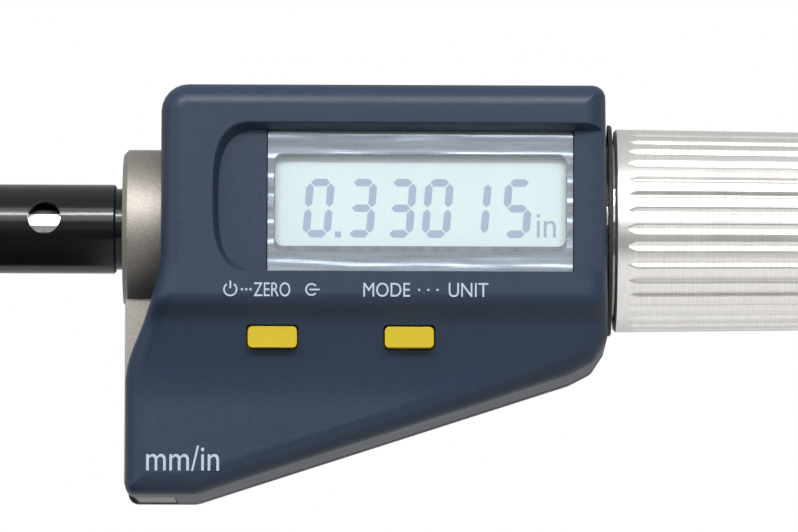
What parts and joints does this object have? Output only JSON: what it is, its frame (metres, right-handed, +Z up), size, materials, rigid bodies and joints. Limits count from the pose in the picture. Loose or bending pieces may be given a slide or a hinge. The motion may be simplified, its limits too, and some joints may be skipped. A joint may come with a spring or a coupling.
{
  "type": "digital three-point bore micrometer",
  "caption": "Digital three-point inside micrometer with a slim measuring head, extension tube, angled display housing with push buttons, and a fluted thimble.",
  "frame": {"origin": "centre of the measuring head's flat end face, on the spindle axis", "axes": "+X along the spindle axis from the head towards the thimble and ratchet, -Y out of the display, +Z up from the spindle axis towards the top of the display"},
  "size_m": [0.166, 0.0248, 0.0404],
  "materials": {
    "ground_steel": "ground and polished steel",
    "hard_steel": "hardened and lapped steel",
    "spring_steel": "drawn spring wire",
    "carbide": "ground carbide",
    "black_steel": "blackened steel, smooth satin",
    "blasted_nickel": "bead-blasted nickel plate",
    "satin_chrome": "satin chrome plate, fine turned grain",
    "brass": "turned brass",
    "cover_plastic": "dark blue-grey moulded plastic, fine texture",
    "rear_plastic": "dark moulded plastic",
    "white_plastic": "white moulded plastic",
    "yellow_plastic": "yellow moulded plastic",
    "black_rubber": "black rubber",
    "board_green": "circuit board laminate with solder mask",
    "clear_window": "clear acrylic",
    "silver_mask": "silvery film",
    "display_glass": "reflective liquid crystal display",
    "cell_steel": "plated steel can",
    "metal_can": "tin-plated can"
  },
  "bodies": {
    "housing": {"head_body": "ground_steel", "head_end_cap": "ground_steel", "return_spring": "spring_steel", "extension_tube": "black_steel", "frame_bracket": "blasted_nickel", "frame_screw_1": "ground_steel", "frame_screw_2": "ground_steel", "spindle_bush": "brass", "encoder_stator": "board_green", "front_cover": "cover_plastic", "rear_cover": "rear_plastic", "cover_gasket_upper": "black_rubber", "cover_gasket_lower": "black_rubber", "cover_screw_1": "ground_steel", "cover_screw_2": "ground_steel", "cover_screw_3": "ground_steel", "cover_screw_4": "ground_steel", "display_window": "clear_window", "display_mask": "silver_mask", "lcd_glass": "display_glass", "lcd_holder": "white_plastic", "zebra_strip_upper": "black_rubber", "zebra_strip_lower": "black_rubber", "circuit_board": "board_green", "board_screw_1": "ground_steel", "board_screw_2": "ground_steel", "button_switch_1": "metal_can", "button_switch_2": "metal_can", "battery": "cell_steel", "battery_contact_front": "brass", "battery_contact_rear": "brass", "battery_seal_ring": "black_rubber", "inner_sleeve": "ground_steel", "outer_sleeve": "ground_steel", "adjusting_nut": "brass", "thimble_seal_ring": "black_rubber"},
    "feed": {"measuring_cone": "hard_steel", "push_rod": "hard_steel", "thrust_ball": "hard_steel"},
    "spindle": {"spindle": "ground_steel"},
    "thimble": {"thimble": "satin_chrome", "thimble_driver": "brass", "ratchet_stem": "ground_steel", "ratchet_spring": "spring_steel", "ratchet_washer": "ground_steel", "ratchet_screw": "ground_steel"},
    "ratchet": {"ratchet_knob": "satin_chrome"},
    "encoder": {"encoder_rotor": "board_green", "rotor_key": "brass"},
    "anvil_a": {"anvil_1": "carbide"},
    "anvil_b": {"anvil_2": "carbide"},
    "anvil_c": {"anvil_3": "carbide"},
    "left_button": {"button_1": "yellow_plastic"},
    "right_button": {"button_2": "yellow_plastic"},
    "cap": {"battery_cap": "rear_plastic"}
  },
  "joints": [
    {"name": "thimble_turn", "type": "hinge", "parent": "housing", "child": "thimble", "pos_m": [0.12, 0, 0], "axis": [1, 0, 0], "range_deg": [-363, 1008.6]},
    {"name": "measuring_feed", "type": "slide", "parent": "housing", "child": "feed", "axis": [1, 0, 0], "range_m": [-0.00051, 0.0014], "deforming": ["return_spring"]},
    {"name": "spindle_turn", "type": "hinge", "parent": "feed", "child": "spindle", "pos_m": [0.08, 0, 0], "axis": [1, 0, 0], "range_deg": [-364, 1010]},
    {"name": "encoder_turn", "type": "hinge", "parent": "housing", "child": "encoder", "pos_m": [0.068, 0, 0], "axis": [1, 0, 0], "range_deg": [-364, 1010]},
    {"name": "anvil_1_slide", "type": "slide", "parent": "housing", "child": "anvil_a", "axis": [0, 0, 1], "range_m": [-0.000702, 0.000254]},
    {"name": "anvil_2_slide", "type": "slide", "parent": "housing", "child": "anvil_b", "axis": [0, -0.866, -0.5], "range_m": [-0.000702, 0.000254]},
    {"name": "anvil_3_slide", "type": "slide", "parent": "housing", "child": "anvil_c", "axis": [0, 0.866, -0.5], "range_m": [-0.000702, 0.000254]},
    {"name": "ratchet_slip", "type": "hinge", "parent": "thimble", "child": "ratchet", "pos_m": [0.155, 0, 0], "axis": [1, 0, 0], "continuous": true},
    {"name": "button_1_press", "type": "slide", "parent": "housing", "child": "left_button", "axis": [0, 1, 0], "range_m": [0, 0.0005], "stiffness_N_per_m": 1000, "springref_m": -0.0005},
    {"name": "button_2_press", "type": "slide", "parent": "housing", "child": "right_button", "axis": [0, 1, 0], "range_m": [0, 0.0005], "stiffness_N_per_m": 1000, "springref_m": -0.0005},
    {"name": "battery_cap_turn", "type": "hinge", "parent": "housing", "child": "cap", "pos_m": [0.08825, 0.01188, 0.0026], "axis": [0, 1, 0], "range_deg": [0, 90]}
  ],
  "couplings": [
    {"joint": "measuring_feed", "follows": "thimble_turn", "m_per_rad": 0.000079577},
    {"joint": "spindle_turn", "follows": "thimble_turn", "ratio": 1},
    {"joint": "encoder_turn", "follows": "thimble_turn", "ratio": 1},
    {"joint": "anvil_1_slide", "follows": "thimble_turn", "m_per_rad": -0.000039789},
    {"joint": "anvil_2_slide", "follows": "thimble_turn", "m_per_rad": -0.000039789},
    {"joint": "anvil_3_slide", "follows": "thimble_turn", "m_per_rad": -0.000039789}
  ]
}
